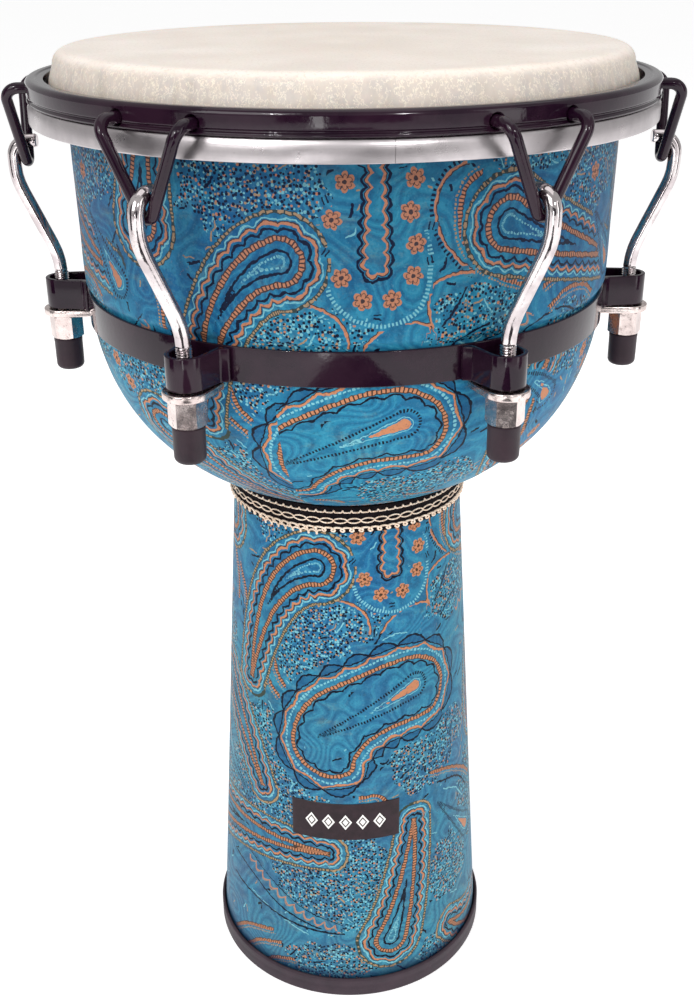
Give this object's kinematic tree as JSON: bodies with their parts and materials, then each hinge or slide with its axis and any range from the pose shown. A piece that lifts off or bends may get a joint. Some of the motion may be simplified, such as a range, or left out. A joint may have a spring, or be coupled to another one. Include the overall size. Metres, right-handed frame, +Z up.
{
  "type": "djembe",
  "caption": "Goblet-shaped hand drum with a skin head, hooked tuning rods around its rim, a printed cloth shell and a rubber foot ring.",
  "frame": {"origin": "on the floor under the drum's axis, at the underside of the rubber foot", "axes": "+Z up along the drum's axis, -Y towards the front, where the badge is; V-hooks at 30, 90 and 150 degrees to each side of the front"},
  "size_m": [0.378, 0.34, 0.6],
  "materials": {
    "fibreglass": "raw moulded fibreglass, resin-rich inside",
    "printed_cloth": "glued printed cotton under a satin clear coat, blue with paisley print",
    "braid": "black gimp braid with gold looped edges",
    "foot_rubber": "matt moulded rubber",
    "label": "satin black label with a plain light motif",
    "black_steel": "gloss black powder coat",
    "skin": "matt cream skin, creased over its corner",
    "aluminium": "satin aluminium",
    "chrome": "bright chrome plate",
    "cap_rubber": "smooth black rubber"
  },
  "bodies": {
    "drum_body": {"shell": "fibreglass", "bowl_cloth": "printed_cloth", "stem_cloth": "printed_cloth", "waist_trim": "braid", "rubber_foot": "foot_rubber", "badge": "label", "lug_belt": "black_steel", "lug_bracket_1": "black_steel", "lug_bracket_2": "black_steel", "lug_bracket_3": "black_steel", "lug_bracket_4": "black_steel", "lug_bracket_5": "black_steel", "lug_bracket_6": "black_steel", "lug_washer_1": "chrome", "lug_washer_2": "chrome", "lug_washer_3": "chrome", "lug_washer_4": "chrome", "lug_washer_5": "chrome", "lug_washer_6": "chrome"},
    "head_assembly": {"drumhead": "skin", "flesh_hoop": "aluminium", "counterhoop": "black_steel", "v_hook_1": "black_steel", "v_hook_2": "black_steel", "v_hook_3": "black_steel", "v_hook_4": "black_steel", "v_hook_5": "black_steel", "v_hook_6": "black_steel", "tuning_rod_1": "chrome", "tuning_rod_2": "chrome", "tuning_rod_3": "chrome", "tuning_rod_4": "chrome", "tuning_rod_5": "chrome", "tuning_rod_6": "chrome"},
    "nut_1": {"tuning_nut_1": "chrome", "nut_cap_1": "cap_rubber"},
    "nut_2": {"tuning_nut_2": "chrome", "nut_cap_2": "cap_rubber"},
    "nut_3": {"tuning_nut_3": "chrome", "nut_cap_3": "cap_rubber"},
    "nut_4": {"tuning_nut_4": "chrome", "nut_cap_4": "cap_rubber"},
    "nut_5": {"tuning_nut_5": "chrome", "nut_cap_5": "cap_rubber"},
    "nut_6": {"tuning_nut_6": "chrome", "nut_cap_6": "cap_rubber"}
  },
  "joints": [
    {"name": "head_lift", "type": "slide", "parent": "drum_body", "child": "head_assembly", "axis": [0, 0, 1], "range_m": [0, 0.0075]},
    {"name": "nut_turn_1", "type": "hinge", "parent": "drum_body", "child": "nut_1", "pos_m": [-0.07723, 0.14649, 0.443], "axis": [0, 0, 1], "range_deg": [-10, 2170]},
    {"name": "nut_turn_2", "type": "hinge", "parent": "drum_body", "child": "nut_2", "pos_m": [-0.1656, 0, 0.443], "axis": [0, 0, 1], "range_deg": [-10, 2170]},
    {"name": "nut_turn_3", "type": "hinge", "parent": "drum_body", "child": "nut_3", "pos_m": [-0.07723, -0.14649, 0.443], "axis": [0, 0, 1], "range_deg": [-10, 2170]},
    {"name": "nut_turn_4", "type": "hinge", "parent": "drum_body", "child": "nut_4", "pos_m": [0.07723, -0.14649, 0.443], "axis": [0, 0, 1], "range_deg": [-10, 2170]},
    {"name": "nut_turn_5", "type": "hinge", "parent": "drum_body", "child": "nut_5", "pos_m": [0.1656, 0, 0.443], "axis": [0, 0, 1], "range_deg": [-10, 2170]},
    {"name": "nut_turn_6", "type": "hinge", "parent": "drum_body", "child": "nut_6", "pos_m": [0.07723, 0.14649, 0.443], "axis": [0, 0, 1], "range_deg": [-10, 2170]}
  ],
  "couplings": [
    {"joint": "nut_turn_1", "follows": "head_lift", "rad_per_m": 5026.5},
    {"joint": "nut_turn_2", "follows": "head_lift", "rad_per_m": 5026.5},
    {"joint": "nut_turn_3", "follows": "head_lift", "rad_per_m": 5026.5},
    {"joint": "nut_turn_4", "follows": "head_lift", "rad_per_m": 5026.5},
    {"joint": "nut_turn_5", "follows": "head_lift", "rad_per_m": 5026.5},
    {"joint": "nut_turn_6", "follows": "head_lift", "rad_per_m": 5026.5}
  ]
}
